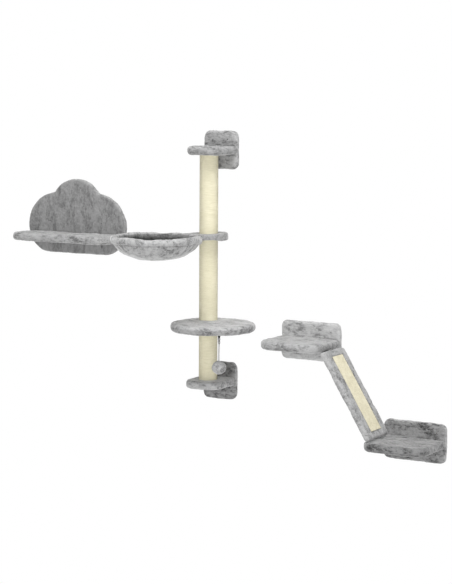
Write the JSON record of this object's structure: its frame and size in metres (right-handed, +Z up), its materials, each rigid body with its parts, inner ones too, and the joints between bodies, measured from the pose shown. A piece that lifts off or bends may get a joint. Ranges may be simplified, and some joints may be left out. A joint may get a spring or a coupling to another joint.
{
  "type": "cat climbing wall",
  "caption": "Wall-mounted climbing set for cats: padded lounge with a lobed back, sisal post with platform, hammock and hanging toy, and padded shelves joined by a hinged ramp.",
  "frame": {"origin": "middle of the back face of the sisal post's lower wall board, in the plane of the wall", "axes": "+X along the wall to the right as seen from the room, +Y into the wall, +Z up"},
  "size_m": [2.3347, 0.6344, 1.492],
  "materials": {
    "plush": "deep soft pile",
    "sisal": "coarse natural fibre",
    "wood": "raw board",
    "cardboard": "wound paper tube",
    "steel": "zinc plated",
    "black_steel": "satin black",
    "black_plastic": "matte",
    "cord": "braided cord"
  },
  "bodies": {
    "wall_units": {"bracket_joining_screws": "steel", "hammock_bag": "plush", "hammock_frame_board": "wood", "hammock_hem": "plush", "hammock_neck_cover": "plush", "hinge_pin": "black_steel", "hinge_shelf_leaf": "black_steel", "hinge_shelf_screws": "black_steel", "lounge_back_board": "wood", "lounge_back_cover": "plush", "lounge_joining_screws": "steel", "lounge_seat_board": "wood", "lounge_seat_cover": "plush", "lower_bracket_board": "wood", "lower_bracket_cover": "plush", "lower_post_tube": "cardboard", "lower_shelf_board": "wood", "lower_shelf_cover": "plush", "lower_shelf_wall_board": "wood", "lower_shelf_wall_cover": "plush", "lower_sisal_wrap": "sisal", "lower_wall_board": "wood", "lower_wall_cover": "plush", "middle_post_tube": "cardboard", "middle_sisal_wrap": "sisal", "platform_board": "wood", "platform_cover": "plush", "post_bolts": "steel", "post_end_plugs": "wood", "post_studs": "steel", "post_washers": "steel", "shelf_joining_screws": "steel", "toy_hook": "black_plastic", "upper_bracket_board": "wood", "upper_bracket_cover": "plush", "upper_post_tube": "cardboard", "upper_shelf_board": "wood", "upper_shelf_cover": "plush", "upper_shelf_wall_board": "wood", "upper_shelf_wall_cover": "plush", "upper_sisal_wrap": "sisal", "upper_wall_board": "wood", "upper_wall_cover": "plush"},
    "ramp": {"hinge_ramp_leaf": "black_steel", "hinge_ramp_screws": "black_steel", "ramp_board": "wood", "ramp_cover": "plush", "ramp_sisal_pad": "sisal"},
    "toy_ring": {"toy_ring": "steel"},
    "toy": {"toy_cord": "cord", "toy_ball": "plush"}
  },
  "joints": [
    {"name": "ramp_hinge", "type": "hinge", "parent": "wall_units", "child": "ramp", "pos_m": [0.6605, -0.155, 0.2032], "axis": [0, -1, 0], "range_deg": [0, 57.5]},
    {"name": "toy_swing_out", "type": "hinge", "parent": "wall_units", "child": "toy_ring", "pos_m": [0.157, -0.292, 0.24], "axis": [1, 0, 0], "range_deg": [-60, 60]},
    {"name": "toy_swing_across", "type": "hinge", "parent": "toy_ring", "child": "toy", "pos_m": [0.157, -0.292, 0.2331], "axis": [0, 1, 0], "range_deg": [-60, 60]}
  ]
}
